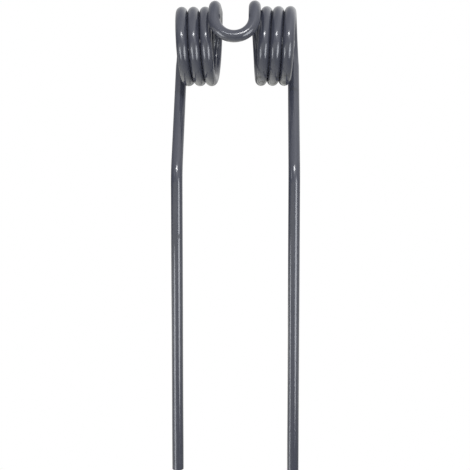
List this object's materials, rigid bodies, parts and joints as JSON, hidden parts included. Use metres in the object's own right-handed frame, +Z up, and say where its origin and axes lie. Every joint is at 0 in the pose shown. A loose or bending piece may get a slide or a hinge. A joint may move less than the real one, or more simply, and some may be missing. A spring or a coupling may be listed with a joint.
{
  "type": "rotary rake tine",
  "caption": "Spring tine for a rotary hay rake: one bent round wire with a clamp loop in the middle, a coil on each side and long cranked legs.",
  "frame": {"origin": "middle of the centre loop's round end, where the clamp bolt passes", "axes": "+Z up as the tine hangs from its loop, X along the axis of both coils, -Y out of the loop towards the clamp bolt's head"},
  "size_m": [0.1, 0.0758, 0.3644],
  "materials": {
    "painted_wire": "gloss dark blue-grey paint"
  },
  "bodies": {
    "root": {"tine": "painted_wire"}
  },
  "joints": []
}
